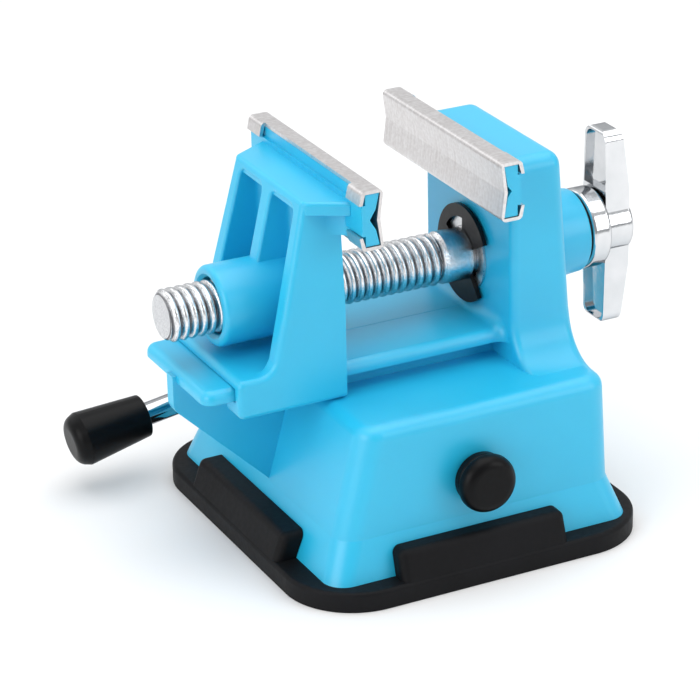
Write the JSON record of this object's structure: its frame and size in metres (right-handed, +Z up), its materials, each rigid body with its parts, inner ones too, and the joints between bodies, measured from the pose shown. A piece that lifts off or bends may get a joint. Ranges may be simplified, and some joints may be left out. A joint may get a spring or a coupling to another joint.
{
  "type": "suction base vise",
  "caption": "Small blue bench vise on a black rubber suction base, with a threaded screw, wing handle, folded metal jaw caps and a side clamping lever.",
  "frame": {"origin": "on the table, at the middle of the rubber pad's underside", "axes": "+X along the screw towards the wing handle, +Y towards the side with the clamping lever, +Z up"},
  "size_m": [0.0945, 0.0709, 0.0685],
  "materials": {
    "blue_abs": "satin moulded",
    "cap_aluminium": "brushed",
    "zinc_steel": "zinc plated",
    "chromed_steel": "bright chromed",
    "chromed_cast": "chromed casting",
    "black_steel": "black oxide",
    "black_plastic": "fine satin",
    "black_rubber": "matte"
  },
  "bodies": {
    "base": {"base_body": "blue_abs", "fixed_jaw_cap": "cap_aluminium", "front_washer": "zinc_steel", "rear_washer": "black_steel", "suction_pad": "black_rubber", "suction_membrane": "black_rubber"},
    "screw": {"lead_screw": "chromed_steel", "retaining_clip": "black_steel", "wing_handle": "chromed_cast", "handle_screw": "zinc_steel"},
    "jaw": {"moving_jaw": "blue_abs", "moving_jaw_cap": "cap_aluminium", "drive_nut": "zinc_steel"},
    "lever": {"cam_shaft": "zinc_steel", "lift_cam": "zinc_steel", "pivot_knob": "black_plastic", "lever_hub": "black_plastic", "lever_rod": "chromed_steel", "lever_grip": "black_plastic"},
    "stud": {"lift_stud": "black_plastic"}
  },
  "joints": [
    {"name": "screw_turn", "type": "hinge", "parent": "base", "child": "screw", "pos_m": [0.0145, 0, 0.0445], "axis": [-1, 0, 0], "range_deg": [-1111, 4811]},
    {"name": "jaw_slide", "type": "slide", "parent": "base", "child": "jaw", "axis": [1, 0, 0], "range_m": [-0.005, 0.02165]},
    {"name": "lever_turn", "type": "hinge", "parent": "base", "child": "lever", "pos_m": [0.0001, 0, 0.01715], "axis": [0, 1, 0], "range_deg": [0, 180]},
    {"name": "stud_lift", "type": "slide", "parent": "base", "child": "stud", "axis": [0, 0, 1], "range_m": [0, 0.002], "deforming": ["suction_membrane"]}
  ],
  "couplings": [
    {"joint": "jaw_slide", "follows": "screw_turn", "m_per_rad": 0.00025783},
    {"joint": "stud_lift", "follows": "lever_turn", "m_per_rad": 0.00063656}
  ]
}
